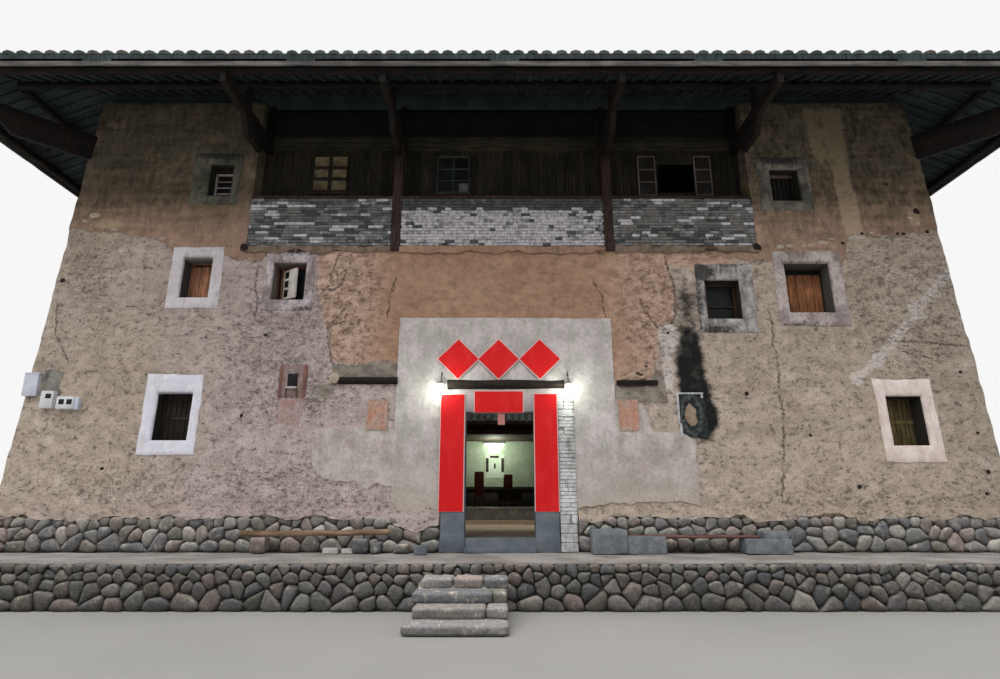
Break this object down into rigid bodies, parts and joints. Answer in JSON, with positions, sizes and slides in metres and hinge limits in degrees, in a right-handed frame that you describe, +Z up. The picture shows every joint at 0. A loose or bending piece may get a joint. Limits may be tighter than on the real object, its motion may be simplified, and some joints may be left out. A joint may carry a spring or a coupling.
{
  "type": "square tulou house",
  "caption": "Square rammed-earth clan house with wide tiled eaves, a timber gallery over a stone-framed doorway, and an inner courtyard.",
  "frame": {"origin": "centre of the footprint box, on the lower ground in front of the terrace", "axes": "+Z up, the front with the doorway faces -Y, +X to the right of a person who faces it"},
  "size_m": [23.844, 23.772, 12.624],
  "materials": {
    "earth": "rough rammed earth",
    "rubble": "river cobbles and rough stone",
    "earth_floor": "trodden earth",
    "dressed_stone": "dressed grey stone",
    "brick": "grey-blue fired brick",
    "old_timber": "dark weathered timber",
    "brown_timber": "brown weathered boards",
    "tile": "weathered clay tile",
    "plaster": "lime plaster",
    "red_paper": "red paper",
    "lamp_metal": "dark painted metal",
    "lamp_glass": "lit bulb",
    "meter_box": "pale grey enamelled box"
  },
  "bodies": {
    "root": {"terrace": "rubble", "front_steps": "rubble", "stone_footing": "rubble", "ground_floor": "earth_floor", "front_wall_left": "earth", "front_wall_right": "earth", "front_wall_over_door": "earth", "side_wall_left": "earth", "side_wall_right": "earth", "back_wall": "earth", "door_jamb_left": "dressed_stone", "door_jamb_right": "dressed_stone", "door_lintel": "dressed_stone", "door_threshold": "dressed_stone", "door_timber_lintel": "old_timber", "gallery_frame": "old_timber", "parapet_left": "brick", "parapet_middle": "brick", "parapet_right": "brick", "gallery_plank_wall": "old_timber", "window_ground_left": "brown_timber", "window_ground_right": "brown_timber", "window_second_left_outer": "brown_timber", "window_second_left_inner": "brown_timber", "window_second_right_inner": "brown_timber", "window_second_right_outer": "brown_timber", "window_third_left": "brown_timber", "window_third_right": "brown_timber", "roof_front": "tile", "roof_back": "tile", "roof_left": "tile", "roof_right": "tile", "roof_ridges": "tile", "roof_frame_front": "old_timber", "roof_frame_back": "old_timber", "roof_frame_left": "old_timber", "roof_frame_right": "old_timber", "floor_second": "brown_timber", "floor_third": "brown_timber", "courtyard_frame_front": "old_timber", "courtyard_frame_back": "old_timber", "courtyard_frame_left": "old_timber", "courtyard_frame_right": "old_timber", "bench_left": "brown_timber", "bench_right": "dressed_stone"}
  },
  "joints": []
}
